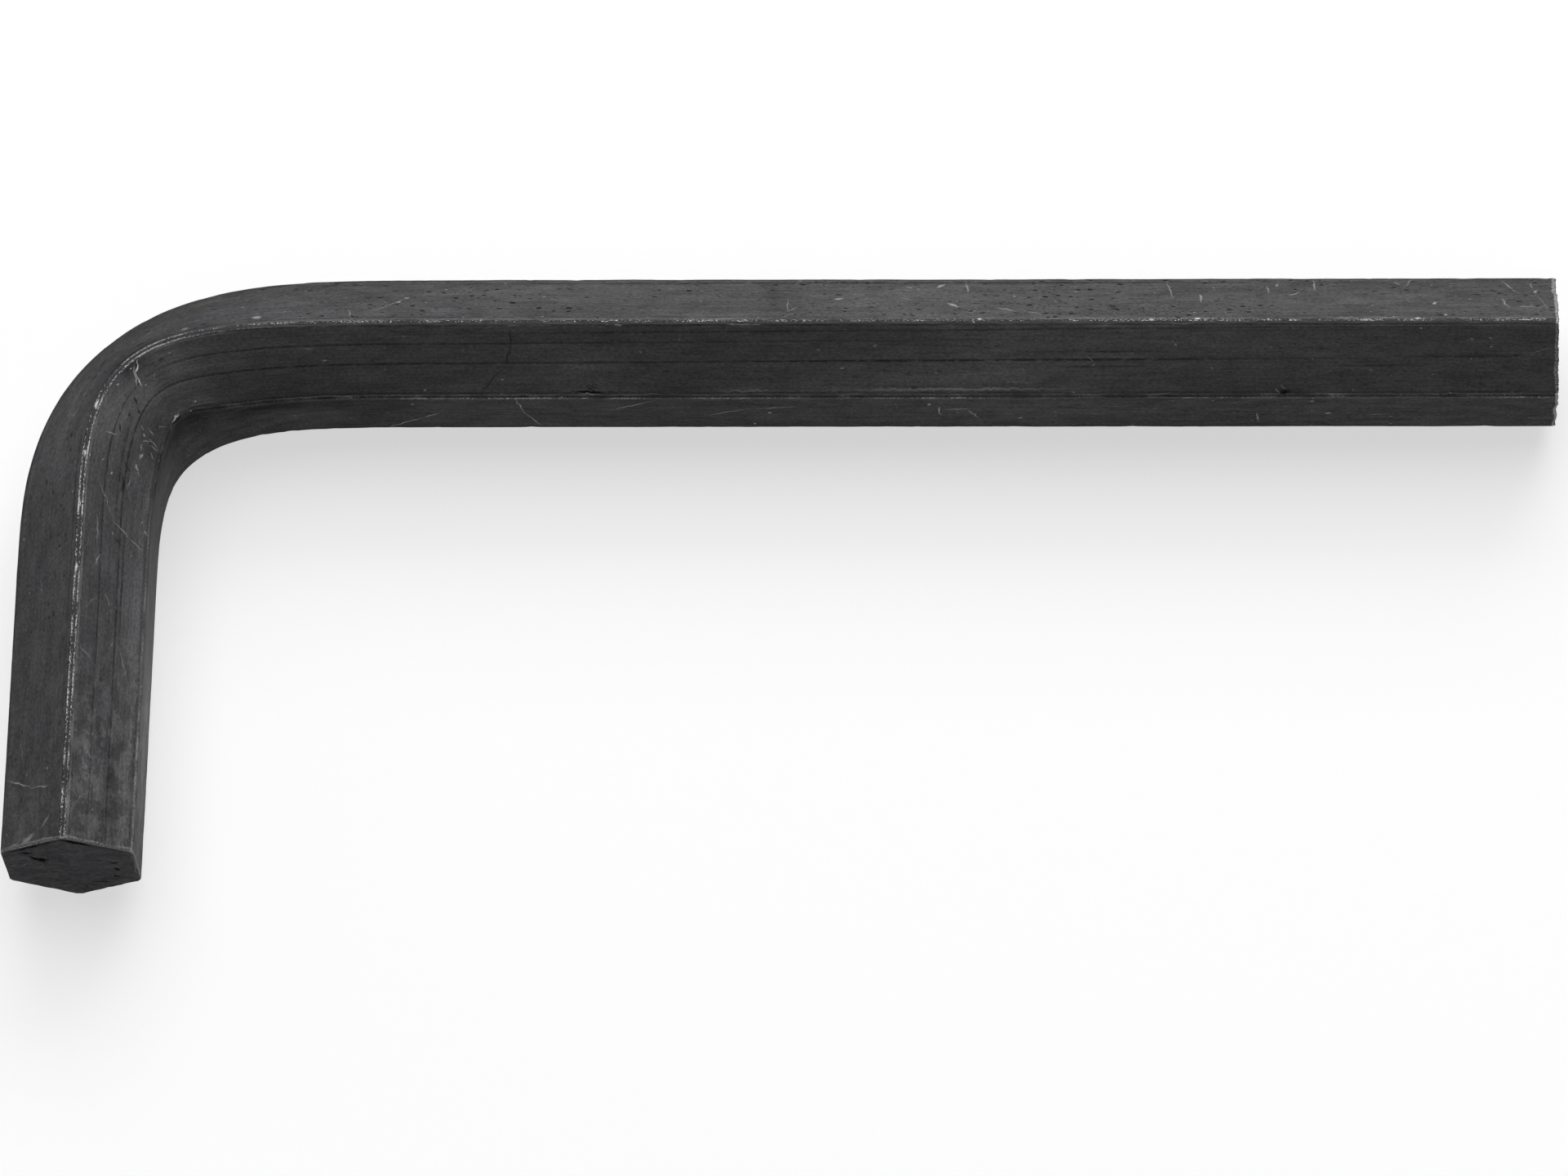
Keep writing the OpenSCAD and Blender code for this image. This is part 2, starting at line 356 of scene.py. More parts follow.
def around_at(face, across):
    """Distance round the bar of a place on a facet, given its distance from the facet's upper edge."""
    if face == END_FACE:
        return across
    if face in DOWNWARD_FACES:
        return SIDE_START[face] + across
    return SIDE_START[face] + FACET - across


def s_curve(share):
    return share * share * (3 - 2 * share)


def smooth(x, low, high):
    """0 below low, 1 above high and an even S between."""
    return s_curve(np.clip((x - low) / (high - low), 0, 1))


def bell(x, middle, width):
    return np.exp(-(((x - middle) / width) ** 2))


# Shape of the bar

def bend_line():
    """Distance, heading and place of the middle line through the bend, from the long arm's end of it."""
    turn = math.pi / 2
    eased = EASE_LONG / (EASE_POWER + 1) + EASE_SHORT / 2
    hold = BEND_RADIUS * turn - eased
    rate = turn / (eased + hold)
    length = EASE_LONG + hold + EASE_SHORT
    s = np.linspace(0, length, BEND_KNOTS)
    curve = rate * np.minimum(np.minimum(1, (s / EASE_LONG) ** EASE_POWER), (length - s) / EASE_SHORT)
    step = s[1] - s[0]
    heading = np.concatenate([[0], np.cumsum((curve[1:] + curve[:-1]) / 2) * step])
    heading *= turn / heading[-1]
    between = (heading[1:] + heading[:-1]) / 2
    x = np.concatenate([[0], np.cumsum(-np.cos(between))]) * step
    y = np.concatenate([[0], np.cumsum(-np.sin(between))]) * step
    return s, heading, x - x[-1], y


BEND_S, BEND_HEADING, BEND_X, BEND_Y = bend_line()
CROSSING = (HALF_FLATS - LONG_ARM / 2, SHORT_ARM / 2 - HALF_FLATS)
LONG_STRAIGHT = LONG_ARM - HALF_FLATS - BEND_X[0]
BEND_END = LONG_STRAIGHT + BEND_S[-1]
TOTAL = BEND_END + SHORT_ARM - HALF_FLATS + BEND_Y[-1]


def middle_line(along):
    """Heading and place of the bar's middle line at distances along it from the long arm's cut end."""
    knots = np.concatenate([[0], LONG_STRAIGHT + BEND_S, [TOTAL]])
    heading = np.interp(along, knots, np.concatenate([[0], BEND_HEADING, [math.pi / 2]]))
    x = np.interp(along, knots, np.concatenate([[LONG_ARM - HALF_FLATS], BEND_X, [0]]))
    y = np.interp(along, knots, np.concatenate([[0], BEND_Y, [HALF_FLATS - SHORT_ARM]]))
    return heading, x + CROSSING[0], y + CROSSING[1]


def corner_shift(angle, squeeze):
    """How far the bend moves one corner of the section, as (outwards, up)."""
    if abs(angle) == 90:
        return RIDGE_SHIFT * squeeze**RIDGE_SHARPNESS, 0
    if abs(angle) == 30:
        return 0, -math.copysign(OUTER_PINCH, angle) * squeeze**RIDGE_SHARPNESS
    grown = squeeze**INNER_SHARPNESS
    return INNER_SHIFT * grown, math.copysign(INNER_SPREAD, angle) * grown


def section(squeeze):
    """The bar's section, squeezed by a share from 0 to 1: two points at each corner, as (outwards, up)."""
    points = []
    for angle in CORNERS:
        a = math.radians(angle)
        shift = corner_shift(angle, squeeze)
        for side in (1, -1):
            points.append((
                CUT_REACH * math.cos(a) - side * CORNER_FLAT / 2 * math.sin(a) + shift[0],
                CUT_REACH * math.sin(a) + side * CORNER_FLAT / 2 * math.cos(a) + shift[1],
            ))
    return np.array(points)


# Where the points of the mesh stand along and round the bar

def stations():
    """Distances along the bar: close together at the cut ends, even in between."""
    near = [0.0]
    step = END_STEP
    while step < PLAIN_STEP:
        near.append(near[-1] + step)
        step *= END_GROWTH
    near = np.array(near)
    middle = np.linspace(near[-1], TOTAL - near[-1], round((TOTAL - 2 * near[-1]) / PLAIN_STEP) + 1)
    return np.concatenate([near[:-1], middle, (TOTAL - near[:-1])[::-1]])


def shares(side):
    """Shares across a side at which its columns stand, closer together at the edges of a facet."""
    is_facet = side % 2
    count = COLUMNS.get(side, FACET_COLUMNS if is_facet else CORNER_COLUMNS)
    knots = np.linspace(0, 1, SHARE_KNOTS)
    density = np.ones_like(knots)
    if is_facet:
        density += EDGE_DENSITY * (bell(knots, 0, EDGE_SHARE) + bell(knots, 1, EDGE_SHARE))
    filled = np.concatenate([[0], np.cumsum((density[1:] + density[:-1]) / 2)])
    return np.interp(np.arange(count) / count, filled / filled[-1], knots)


def columns():
    """Side, share across it and distance round the bar of each column of points."""
    side = np.concatenate([np.full(len(shares(k)), k) for k in range(SIDES)])
    share = np.concatenate([shares(k) for k in range(SIDES)])
    around = np.array(SIDE_START)[side] + share * np.array(SIDE_WIDTH)[side]
    return side, share, around


# Relief of the surface

def grain(along, around, size_along, size_around, seed):
    """Smooth noise from -1 to 1 over the bar's surface, which closes round the bar."""
    cells = max(3, round(GIRTH / size_around))
    rows = int(TOTAL / size_along) + 3
    lattice = np.random.default_rng(seed).uniform(-1, 1, (rows, cells))
    row_place = along / size_along
    cell_place = around / GIRTH * cells
    row = np.floor(row_place).astype(int)
    cell = np.floor(cell_place).astype(int)
    row_share = s_curve(row_place - row)
    cell_share = s_curve(cell_place - cell)
    row = np.clip(row, 0, rows - 2)
    here = cell % cells
    after = (cell + 1) % cells
    low = lattice[row, here] * (1 - cell_share) + lattice[row, after] * cell_share
    high = lattice[row + 1, here] * (1 - cell_share) + lattice[row + 1, after] * cell_share
    return low * (1 - row_share) + high * row_share


def face_relief(along, around):
    return sum(depth * (grain(along, around, *size) - 1) for depth, *size in FACE_WAVES)


def groove_relief(along, around):
    """The grooves, each broken up along its run and faded out at both ends."""
    depth = np.zeros_like(around)
    for face, lines in GROOVES.items():
        for n, (across, drift, first, last, width, deep, dark) in enumerate(lines):
            place = around_at(face, across + drift * along)
            lane = np.full_like(around, GROOVE_LANE * n)
            stretches = grain(along, lane, GROOVE_STRETCH, GROOVE_GRAIN_WIDTH, GROOVE_SEED + face + n)
            run = np.clip(GROOVE_SHARE + GROOVE_CHANGE * stretches, LEAST_GROOVE_SHARE, 1)
            ends = smooth(along, first, first + GROOVE_FADE) * (1 - smooth(along, last - GROOVE_FADE, last))
            depth += bell(around, place, width) * deep * run * ends
    return -depth


def ridge_relief(along, around):
    """Wear and small nicks along the corners of the bar."""
    off = np.abs((around - CORNER_FLAT / 2 + PITCH / 2) % PITCH - PITCH / 2)
    near = np.exp(-((off / RIDGE_REACH) ** 4))
    nicks = smooth(grain(along, around, *NICK_GRAIN), *NICK_RANGE) * NICK_DEPTH
    worn = sum(depth * (1 + grain(along, around, *size)) for depth, *size in RIDGE_WAVES)
    return -near * (nicks + worn)


def rolled_edge(along):
    """How far the edge at each cut end is rolled in towards the middle of the bar."""
    to_short = TOTAL - along
    return -EDGE_ROLL * (np.exp(-along / EDGE_ROLL_LENGTH) + np.exp(-to_short / EDGE_ROLL_LENGTH))


def relief(along, around):
    surface = face_relief(along, around) + groove_relief(along, around) + ridge_relief(along, around)
    return surface + rolled_edge(along)


def rim(around, back, waves):
    """How far a ragged rim stands back from the end of its arm at each place round it."""
    row = np.full_like(around, RIM_ROW)
    return back + sum(
        depth * np.abs(grain(row, around, RIM_ROW_LENGTH, length, seed)) for depth, length, seed in waves
    )


def pulled_in(along, around):
    """Place along the bar of each point once the ragged rims are drawn in."""
    long_back = rim(around, *LONG_RIM) * np.clip(1 - along / RIM_REACH, 0, 1)
    short_back = rim(around, *SHORT_RIM) * np.clip(1 - (TOTAL - along) / RIM_REACH, 0, 1)
    return along + long_back - short_back


# Mesh of the key

def outlines(along, side, share):
    """The bar's section at each station, as (outwards, up), before the relief."""
    rows = []
    for heading in middle_line(along)[0]:
        corners = section(max(0.0, math.sin(2 * heading)))
        after = np.roll(corners, -1, axis=0)
        rows.append(corners[side] * (1 - share)[:, None] + after[side] * share[:, None])
    return np.array(rows)


def raised(outline, height):
    """The outlines moved outwards by the relief."""
    tangent = np.roll(outline, -1, axis=1) - np.roll(outline, 1, axis=1)
    normal = np.stack([-tangent[..., 1], tangent[..., 0]], -1)
    normal /= np.linalg.norm(normal, axis=-1, keepdims=True)
    return outline + normal * height[..., None]


def wall_points():
    """Points of the walls, and the place of each along and round the bar."""
    side, share, around = columns()
    along, around = np.meshgrid(stations(), around, indexing="ij")
    outline = raised(outlines(along[:, 0], side, share), relief(along, around))
    heading, x, y = middle_line(pulled_in(along, around))
    points = np.stack([
        x - np.sin(heading) * outline[..., 0],
        y + np.cos(heading) * outline[..., 0],
        outline[..., 1] + CUT_REACH,
    ], -1)
    return points, np.stack([along, around], -1)


def end_rings(edge, centre, axis):
    """Rings of points that close a cut end, from just inside its edge to near its middle."""
    rings = []
    for n in range(1, END_RINGS):
        out = 1 - (n / END_RINGS) ** RING_POWER if n > 1 else FIRST_RING
        drawn_in = centre + (edge - centre) * out
        stand = ((edge - centre) @ axis)[:, None] * (out - max(0, 1 - (1 - out) / FLAT_SHARE))
        sink = END_SINK * smooth(np.array(1 - out), 0, SINK_SHARE)
        rings.append(drawn_in - axis * stand - axis * sink)
    return np.array(rings)


def section_place(points, axis):
    """Outward distance and height of points on a cut end, in the bar's section."""
    out = points[..., 1] - CROSSING[1] + LONG_END_SHIFT if axis[0] else CROSSING[0] - points[..., 0]
    return np.stack([out, points[..., 2] - CUT_REACH], -1)


# Corners of a cell in the order that turns its face outwards: 0 is near, 1 far, 2 and 3 are far and near in
# the next column. Each cut end has its edge's row of points, the way it faces, that order, and whether the
# triangles in its middle start with the next column.
WALL_ORDER = (0, 1, 2, 3)
CUT_ENDS = [
    (0, (1.0, 0, 0), (0, 3, 2, 1), False),
    (-1, (0, -1.0, 0), (3, 0, 1, 2), True),
]


def cell_corners(grid, order):
    """What a grid of points that closes round the bar holds at the four corners of each cell."""
    after = np.roll(grid, -1, axis=1)
    corners = (grid[:-1], grid[1:], after[1:], after[:-1])
    return np.stack([corners[n] for n in order], 2)


def fan_corners(ring, centre, next_first):
    """The same for the triangles between the last ring and the middle of a cut end."""
    after = np.roll(ring, -1, axis=0)
    middle = np.broadcast_to(centre, ring.shape)
    return np.stack([after, ring, middle] if next_first else [ring, after, middle], 1)


def cut_end(edge, edge_index, first_new, axis, order, next_first):
    """New points, faces and face corner places of one cut end; its new points count from first_new."""
    centre = edge.mean(0)
    rings = end_rings(edge, centre, axis)
    new = np.concatenate([rings.reshape(-1, 3), [centre - axis * END_SINK]])
    index = first_new + np.arange(len(new) - 1).reshape(rings.shape[:2])
    index = np.concatenate([edge_index[None], index])
    last_index = first_new + len(new) - 1
    faces = cell_corners(index, order).reshape(-1, 4).tolist()
    faces += fan_corners(index[-1], last_index, next_first).tolist()
    place = section_place(np.concatenate([edge[None], rings]), axis)
    fan_place = fan_corners(place[-1], section_place(centre, axis), next_first)
    places = np.concatenate([cell_corners(place, order).reshape(-1, 2), fan_place.reshape(-1, 2)])
    return new, faces, places


def key_body():
    """The key as one closed mesh; its layer called bar holds the place of each face corner."""
    walls, place = wall_points()
    rows, cols = walls.shape[:2]
    index = np.arange(rows * cols).reshape(rows, cols)
    corner_place = cell_corners(place, WALL_ORDER)
    corner_place[:, -1, 2:, 1] = GIRTH
    points = walls.reshape(-1, 3)
    faces = cell_corners(index, WALL_ORDER).reshape(-1, 4).tolist()
    places = corner_place.reshape(-1, 2)
    wall_count = len(faces)
    for row, facing, order, next_first in CUT_ENDS:
        new, new_faces, new_places = cut_end(
            walls[row], index[row], len(points), np.array(facing), order, next_first
        )
        points = np.concatenate([points, new])
        faces += new_faces
        places = np.concatenate([places, new_places])
    mesh = bpy.data.meshes.new("hex_key_body")
    mesh.from_pydata((points * MM).tolist(), [], faces)
    mesh.polygons.foreach_set("use_smooth", np.ones(len(faces), bool))
    mesh.uv_layers.new(name="bar").data.foreach_set("uv", places.reshape(-1))
    mesh.polygons.foreach_set("material_index", np.repeat((0, 1), (wall_count, len(faces) - wall_count)))
    mesh.update()
    return place_in_scene("hex_key_body", mesh)


# Materials

# Noises: length along and round the bar, shift, detail and roughness
NOISES = {
    "broad": (18, 3.5, 0, 2, 0.5),
    "cloud": (2.6, 0.9, 7, 4, 0.65),
    "streaks": (6, 0.20, 3, 3, 0.6),
    "fine": (0.30, 0.16, 5, 3, 0.75),
    "mottle": (1.6, 0.9, 23, 5, 0.72),
    "hue": (7, 2.5, 11, 3, 0.5),
    "pitted": (9, 4, 31, 2, 0.5),
    "speckle": (0.20, 0.09, 13, 2, 0.7),
    "runs": (2.2, 3.0, 17, 3, 0.6),
    "dashes": (0.9, 0.5, 29, 3, 0.7),
    "gloss": (3, 0.6, 19, 3, 0.6),
    "cut_cloud": (2.2, 0.8, 0, 4, 0.65),
    "cut_fine": (0.4, 0.25, 0, 3, 0.7),
}

# A shift of a noise moves it this much round the bar for each millimetre along
SHIFT_SLOPE = 0.37

# What the noises do: from the third number, where a noise is below the first, to the fourth, where it is
# above the second
BROAD_TONE = (0.3, 0.7, 0.93, 1.07)
CLOUD_TONE = (0.25, 0.75, 0.86, 1.14)
STREAK_TONE = (0.25, 0.75, 0.90, 1.10)
FINE_TONE = (0.28, 0.72, 0.78, 1.22)
MOTTLE_TONE = (0.47, 0.53, 0.79, 1.15)
GLOSS = (0.3, 0.7, 0.39, 0.47)
DASHES = (0.36, 0.56, 0.35, 1.0)
PIT_PLACES = (0.35, 0.65, 0.35, 1.0)
CUT_CLOUD_TONE = (0.3, 0.7, 0.85, 1.2)
CUT_FINE_TONE = (0.3, 0.7, 0.8, 1.2)

# Where a look comes in along the bar, from not at all at the first distance to fully at the second
MOTTLED = (BEND_END + 3, TOTAL - 8)
MORE_HUES = (60, 125)
MORE_PITS = (64, 48)
FEWER_PITS = (LONG_STRAIGHT, BEND_END)
BEND_WEAR = (LONG_STRAIGHT + 12, LONG_STRAIGHT + 26)
FAINT_FROM = (34, 40)
FAINT_UNTIL = (66, 60)
BRIGHT_EDGES = (102, 116)
CRUMBLED_BAND = (112, 128)
# Over these the painted shade along the front ridge grows thinner, and then ends
THINNER_FRONT_SHADE = (54, 60)
FRONT_SHADE_UNTIL = (119, 113)

# Range of the hue's noise, and the coolest and warmest share of warm oxide on the long arm and beyond it
HUE_RANGE = (0.35, 0.65)
COOLEST = (0.3, 0.0)
WARMEST = (0.7, 1.0)

# Share of the mottling on the outer facets, and of the pits on the inner ones and beyond the bend
OUTER_MOTTLE = 0.4
INNER_PITS = 0.3
BENT_PITS = 0.45

# Scattered marks: cells of the net that they lie in, length, width, lean in turns, and shift of the net
COARSE_PITS = ((1.1, 0.8), 0.27, 0.13, 0.10, 0.0)
FINE_PITS = ((0.6, 0.45), 0.15, 0.08, 0.12, 2)
FLECKS = ((1.5, 0.8), 0.14, 0.055, 0.15, 4)
HAIRS = ((5.5, 4.2), 1.2, 0.045, 1.0, 9)

# Share of the cells that hold a mark, in general and where there are more, and strength of the fine pits
PIT_SHARES = (0.50, 0.80)
FLECK_SHARES = (0.08, 0.18)
HAIR_SHARE = 0.20
FINE_PIT_STRENGTH = 0.75

# How far marks stray from their cells' middles, their least size and its range, and where they fade out
NET_RANDOMNESS = 0.9
LEAST_MARK = 0.4
MARK_RANGE = 0.8
MARK_FADE = (1.0, 0.5)

# How much wider and stronger than its mark a spot is drawn, since it fades out to its edge
RUN_REACH = 0.6
STROKE_REACH = 1.2
STROKE_GAIN = 1.7
PATCH_REACH = 1.5
PATCH_GAIN = 1.4
GROOVE_REACH = 2.2
GROOVE_GAIN = 2.0

# How strongly the grooves' darkness shows, and how far past the end of the bar they may run
GROOVE_SHOW = 0.75
PAST_THE_END = 20

# Size and reach of the push that keeps drawn strokes from being ruler straight, on the walls and cut ends
WALL_PUSH = (0.6, 0.35)
CUT_PUSH = (0.5, 0.5)

# Wear on the ridges, and painted shade along the upper one. Each place is a distance round the bar from the
# middle of the ridge's flat, and each fade runs from nothing at its first distance off that place to all at
# its second.
UPPER_BAND = 0.13
UPPER_BAND_FADE = (0.15, 0.03)
UPPER_EDGE_FADE = (0.11, 0.02)
# Painted shade over the upper ridge, a dark band that dims the highlight of its rounded edge: its place,
# then its fade with its strength last
UPPER_SHADE = 0.03
UPPER_SHADE_FADE = (0.34, 0.16, 0.0, 0.80)
FRONT_LIP = -0.25
FRONT_LIP_FADE = (0.11, 0.03)
FRONT_FLAT_FADE = (0.16, 0.05)
OTHER_RIDGE_FADE = (0.26, 0.12)

# Painted shade along the front ridge, a dark line painted where the ridge lies in shade: its place, half
# its core, how far off the core it ends where it is wide and where it is thin, how far off it is darkest,
# and its strength
FRONT_SHADE = -0.05
FRONT_SHADE_CORE = 0.10
FRONT_SHADE_EDGES = (0.27, 0.20)
FRONT_SHADE_DARKEST = 0.06
FRONT_SHADE_STRENGTH = 0.75

# How softly the front ridge's worn stretches end, and its wear outside them
WORN_ENDS = 1
LEAST_FRONT_WEAR = 0.10

# How noise breaks the wear up: weight of the slow one, and the sums between which the wear comes in
CHANCE_RUNS = 0.7
BAND_RUNS = 0.45
# The last one breaks up the edge of the painted shade along the front ridge
SHADE_RUNS = 0.24
BAND_CHANCE = (0.75, 0.92)
EDGE_CHANCE = (0.80, 0.94)
FRONT_CHANCE = (0.84, 0.98)
OTHER_CHANCE = (0.90, 1.10)

# Strength of the upper band where it is faint, of its edges at their start, and of its crumbs on them
FAINT_BAND = 0.6
THIN_EDGES = 0.5
CRUMBLED = 0.75

# Wear on the rims of the cut ends: weight of the slow noise, reach from the rim, and range of the speckle
RIM_RUNS = -0.5
RIM_FADE = (0.06, -0.06)
RIM_CHANCE = (0.36, 0.54)

# Strength of each kind of wear and mark
WEAR_STRENGTHS = {
    "upper": 0.9, "front": 0.8, "others": 0.35, "rims": 0.8, "flecks": 0.5, "hairs": 0.18, "scratches": 0.8
}
PIT_DARKNESS = 0.9
CUT_SCRATCH_STRENGTH = 0.5

# Heights of the fine relief that only the material shows
FINE_HEIGHT = 0.006
STREAK_HEIGHT = 0.006
PIT_HEIGHT = -0.010
WORN_HEIGHT = 0.015
CUT_FINE_HEIGHT = 0.01
CUT_PIT_HEIGHT = -0.10


class Nodes:
    """Short forms for the nodes of one material, or of the world."""

    def __init__(self, owner, shader="Principled BSDF"):
        owner.use_nodes = True
        self.owner = owner
        self.tree = owner.node_tree
        self.shader = self.tree.nodes[shader]

    def add(self, kind, inputs=(), **settings):
        node = self.tree.nodes.new(kind)
        for key, value in settings.items():
            setattr(node, key, value)
        for slot, value in dict(inputs).items():
            self.feed(node.inputs[slot], value)
        return node

    def feed(self, socket, value):
        if isinstance(value, bpy.types.NodeSocket):
            self.tree.links.new(value, socket)
        else:
            socket.default_value = value

    def feed_shader(self, values):
        for slot, value in values.items():
            self.feed(self.shader.inputs[slot], value)

    def math(self, operation, a, b=0.0, c=0.0, clamp=False):
        node = self.add("ShaderNodeMath", {0: a, 1: b, 2: c}, operation=operation, use_clamp=clamp)
        return node.outputs[0]

    def times(self, a, b):
        return self.math("MULTIPLY", a, b)

    def off(self, value, place):
        """How far a value is from a place, to either side."""
        return self.math("ABSOLUTE", self.math("SUBTRACT", value, place))

    def most(self, *values):
        result = values[0]
        for value in values[1:]:
            result = self.math("MAXIMUM", result, value)
        return result

    def ramp(self, value, low, high, start=0.0, end=1.0):
        """Number from start, where the value is at low, to end, where it is at high, and level beyond."""
        return self.add(
            "ShaderNodeMapRange",
            {"Value": value, "From Min": low, "From Max": high, "To Min": start, "To Max": end},
            interpolation_type="SMOOTHSTEP",
        ).outputs["Result"]

    def blend(self, share, a, b):
        """Number between a and b."""
        return self.add("ShaderNodeMix", {0: share, 2: a, 3: b}, data_type="FLOAT").outputs[0]

    def vector(self, operation, a, b=(0, 0, 0), c=(0, 0, 0)):
        return self.add("ShaderNodeVectorMath", {0: a, 1: b, 2: c}, operation=operation).outputs[0]

    def mix(self, share, a, b):
        """Colour between a and b."""
        return self.add("ShaderNodeMix", {"Factor": share, 6: a, 7: b}, data_type="RGBA").outputs[2]

    def toned(self, colour, tone):
        return self.add("ShaderNodeVectorMath", {0: colour, "Scale": tone}, operation="SCALE").outputs[0]


class BarNodes(Nodes):
    """Nodes with the place along and round the bar, or in the section on a cut end, and with its strays,
    the same place pushed about, which keep drawn strokes from being straight.
    """

    def __init__(self, name, push_size, push_reach):
        super().__init__(bpy.data.materials.new(name))
        self.place = self.add("ShaderNodeUVMap", uv_map="bar").outputs[0]
        push = self.add(
            "ShaderNodeTexNoise", {"Vector": self.stretch(self.place, push_size, push_size), "Scale": 1.0},
            noise_dimensions="2D",
        ).outputs["Color"]
        push = self.vector("SUBTRACT", push, (0.5, 0.5, 0.5))
        self.strays = self.vector("MULTIPLY_ADD", push, (push_reach, push_reach, 0), self.place)

    def stretch(self, place, along, around, shift=0.0):
        moved = self.vector("ADD", place, (shift, shift * SHIFT_SLOPE, 0))
        return self.vector("DIVIDE", moved, (along, around, 1))

    def noise(self, name):
        """One of the noises of the table, from 0 to 1."""
        along, around, shift, detail, roughness = NOISES[name]
        place = self.stretch(self.place, along, around, shift)
        return self.add(
            "ShaderNodeTexNoise",
            {"Vector": place, "Scale": 1.0, "Detail": detail, "Roughness": roughness},
            noise_dimensions="2D",
        ).outputs["Fac"]

    def bump(self, height):
        """Bumps of a height in millimetres."""
        return self.add("ShaderNodeBump", {"Height": height, "Distance": MM, "Strength": 1.0}).outputs[0]

    def scattered(self, place, presence, cell, length, width, lean, shift):
        """Short marks, one in some of the cells of a net, each turned by up to lean turns."""
        along, around = cell
        net = self.stretch(place, along, around, shift)
        cells = self.add(
            "ShaderNodeTexVoronoi", {"Vector": net, "Scale": 1.0, "Randomness": NET_RANDOMNESS},
            voronoi_dimensions="2D",
        )
        chance = self.add("ShaderNodeSeparateColor", {0: cells.outputs["Color"]})
        off = self.vector("SUBTRACT", net, cells.outputs["Position"])
        off = self.vector("MULTIPLY", off, (along / length, around / length, 1))
        turn = self.math("MULTIPLY_ADD", chance.outputs[1], 2 * math.pi * lean, -math.pi * lean)
        turned = self.add(
            "ShaderNodeVectorRotate", {"Vector": off, "Angle": turn}, rotation_type="Z_AXIS"
        ).outputs[0]
        flat = self.vector("MULTIPLY", turned, (1, length / width, 0))
        far = self.add("ShaderNodeVectorMath", {0: flat}, operation="LENGTH").outputs["Value"]
        size = self.math("MULTIPLY_ADD", chance.outputs[2], MARK_RANGE, LEAST_MARK)
        body = self.ramp(self.math("DIVIDE", far, size), *MARK_FADE)
        return self.times(body, self.math("LESS_THAN", chance.outputs[0], presence))

    def spot(self, place, middle, turn, reach, shape="SPHERICAL"):
        """1 at the middle of an oval, falling to 0 at its edge."""
        own = self.add(
            "ShaderNodeMapping",
            {"Vector": place, "Location": middle, "Rotation": (0, 0, turn), "Scale": (*reach, 1)},
            vector_type="TEXTURE",
        )
        return self.add("ShaderNodeTexGradient", {0: own.outputs[0]}, gradient_type=shape).outputs["Fac"]

    def strokes(self, place, marks, past=STROKE_REACH, reach=STROKE_REACH, gain=STROKE_GAIN):
        """Strokes and dots drawn one by one, added up to at most 1."""
        result = 0.0
        for face, rows in marks.items():
            for along, across, along_2, across_2, width, strength in rows:
                start = Vector((along, around_at(face, across), 0))
                run = Vector((along_2, around_at(face, across_2), 0)) - start
                oval = (run.length * RUN_REACH + past * width, reach * width)
                body = self.spot(place, start + run / 2, math.atan2(run.y, run.x), oval)
                result = self.math("MULTIPLY_ADD", body, gain * strength, result)
        return self.math("ADD", result, 0.0, clamp=True)

    def patches(self, place, spots):
        """Soft spots, added up: each changes the tone by its own number."""
        result = 0.0
        for face, rows in spots.items():
            for along, across, reach_along, reach_across, change in rows:
                middle = (along, around_at(face, across), 0)
                reach = (PATCH_REACH * reach_along, PATCH_REACH * reach_across)
                body = self.spot(place, middle, 0.0, reach, "QUADRATIC_SPHERE")
                result = self.math("MULTIPLY_ADD", body, PATCH_GAIN * change, result)
        return result


class WallNodes(BarNodes):
    """Nodes of the walls' material, with what several of its looks share."""

    def __init__(self):
        super().__init__("blackened_steel", *WALL_PUSH)
        parts = self.add("ShaderNodeSeparateXYZ", {0: self.place})
        self.along, self.around = parts.outputs[0], parts.outputs[1]
        self.streaks = self.noise("streaks")
        self.fine = self.noise("fine")
        self.speckle = self.noise("speckle")
        self.runs = self.noise("runs")
        self.chance = self.math("MULTIPLY_ADD", self.runs, CHANCE_RUNS, self.speckle)
        self.inner = self.ramp(self.around, 3 * PITCH, 3 * PITCH + 1)
        self.bend_on = self.ramp(self.along, *BEND_WEAR)


def oxide_colour(n):
    """Colour of the oxide, with its patches, streaks from drawing, grain, mottling and stains, and patches
    of painted light and shade.
    """
    tone = n.times(n.ramp(n.noise("broad"), *BROAD_TONE), n.ramp(n.noise("cloud"), *CLOUD_TONE))
    tone = n.times(tone, n.ramp(n.streaks, *STREAK_TONE))
    tone = n.times(tone, n.ramp(n.fine, *FINE_TONE))
    mottled = n.times(n.ramp(n.along, *MOTTLED), n.blend(n.inner, OUTER_MOTTLE, 1.0))
    tone = n.times(tone, n.blend(mottled, 1.0, n.ramp(n.noise("mottle"), *MOTTLE_TONE)))
    tone = n.times(tone, n.math("ADD", n.patches(n.strays, STAINS_AND_PAINTED_LIGHT), 1.0))
    coolest = n.ramp(n.along, *MORE_HUES, *COOLEST)
    warmest = n.ramp(n.along, *MORE_HUES, *WARMEST)
    hue = n.ramp(n.noise("hue"), *HUE_RANGE, coolest, warmest)
    return n.toned(n.mix(hue, OXIDE_COOL, OXIDE_WARM), tone)


def pit_marks(n):
    """Pits that lie anywhere, thicker in some places than in others."""
    often = n.ramp(n.along, *MORE_PITS, *PIT_SHARES)
    coarse = n.scattered(n.place, often, *COARSE_PITS)
    fine = n.times(n.scattered(n.place, often, *FINE_PITS), FINE_PIT_STRENGTH)
    pits = n.times(n.most(coarse, fine), n.ramp(n.noise("pitted"), *PIT_PLACES))
    pits = n.times(pits, n.blend(n.inner, 1.0, INNER_PITS))
    return n.times(pits, n.ramp(n.along, *FEWER_PITS, 1.0, BENT_PITS))


